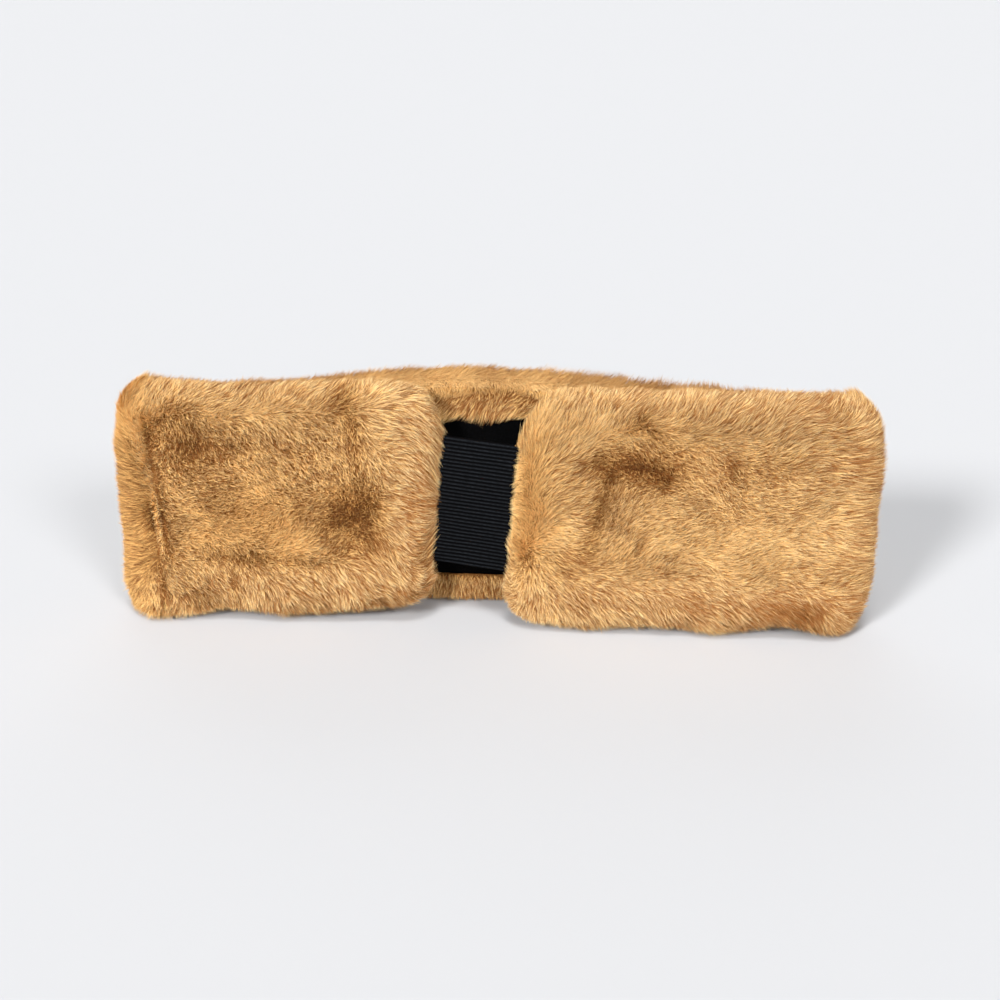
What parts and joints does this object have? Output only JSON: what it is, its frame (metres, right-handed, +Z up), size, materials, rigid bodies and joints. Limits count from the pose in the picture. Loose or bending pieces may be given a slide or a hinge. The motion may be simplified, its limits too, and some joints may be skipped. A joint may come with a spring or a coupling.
{
  "type": "faux fur headband",
  "caption": "Wide faux fur headband with a thin lining and a flat ribbed elastic joining its ends at the back of the head.",
  "frame": {"origin": "bottom centre of the bounding box, on the surface that the headband stands on", "axes": "+X along the flattened loop, +Y from the elastic's side towards the front of the head, +Z up across the band's width"},
  "size_m": [0.2738, 0.034, 0.0931],
  "materials": {
    "fur": "short dense camel faux fur, lighter at the tips and brown at the roots",
    "lining_cloth": "thin matt black brushed cloth",
    "elastic_webbing": "black woven elastic with fine ribs along its length"
  },
  "bodies": {
    "root": {"fur_band": "fur", "lining": "lining_cloth", "elastic_strap": "elastic_webbing"}
  },
  "joints": []
}
